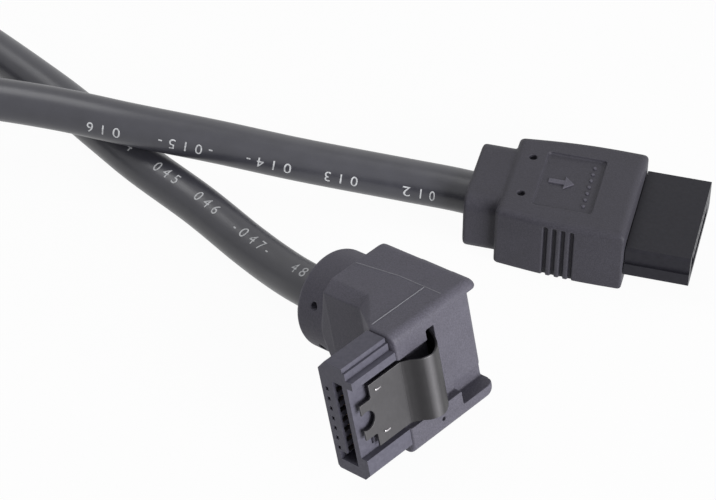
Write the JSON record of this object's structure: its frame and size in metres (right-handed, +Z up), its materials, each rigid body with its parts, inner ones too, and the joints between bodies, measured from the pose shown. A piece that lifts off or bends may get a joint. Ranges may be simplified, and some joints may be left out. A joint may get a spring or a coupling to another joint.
{
  "type": "sata data cable",
  "caption": "Round black data cable with a straight plug and a right-angle plug with a spring steel latch, each with an L-shaped keyed slot of contacts.",
  "frame": {"origin": "the middle of the two plugs' box, at its bottom, on the surface that the cable lies on", "axes": "+X the way the straight plug goes in, +Y across it, +Z up from the surface"},
  "size_m": [0.1532, 0.075, 0.0172],
  "materials": {
    "nose_plastic": "smooth moulded black, slightly glossy",
    "boot_rubber": "fine-grained matte charcoal moulding",
    "contact_gold": "gold plated spring contact",
    "pair_foil": "foil shield",
    "latch_steel": "brushed spring steel",
    "cord_jacket": "satin black jacket with grey length marks"
  },
  "bodies": {
    "cable": {"straight_boot": "boot_rubber", "straight_housing": "nose_plastic", "straight_contact_1": "contact_gold", "straight_contact_2": "contact_gold", "straight_contact_3": "contact_gold", "straight_contact_4": "contact_gold", "straight_contact_5": "contact_gold", "straight_contact_6": "contact_gold", "straight_contact_7": "contact_gold", "straight_pair_1": "pair_foil", "straight_pair_2": "pair_foil", "angle_boot": "boot_rubber", "angle_housing": "nose_plastic", "angle_contact_1": "contact_gold", "angle_contact_2": "contact_gold", "angle_contact_3": "contact_gold", "angle_contact_4": "contact_gold", "angle_contact_5": "contact_gold", "angle_contact_6": "contact_gold", "angle_contact_7": "contact_gold", "angle_pair_1": "pair_foil", "angle_pair_2": "pair_foil", "cord_straight_run": "cord_jacket", "cord_coil": "cord_jacket", "cord_angle_run": "cord_jacket"},
    "latch": {"latch_spring": "latch_steel"}
  },
  "joints": [
    {"name": "latch_press", "type": "hinge", "parent": "cable", "child": "latch", "pos_m": [-0.00349, -0.01321, 0.00956], "axis": [0.2006, -0.1126, -0.9732], "range_deg": [0, 2.4], "stiffness_Nm_per_rad": 0.01}
  ]
}
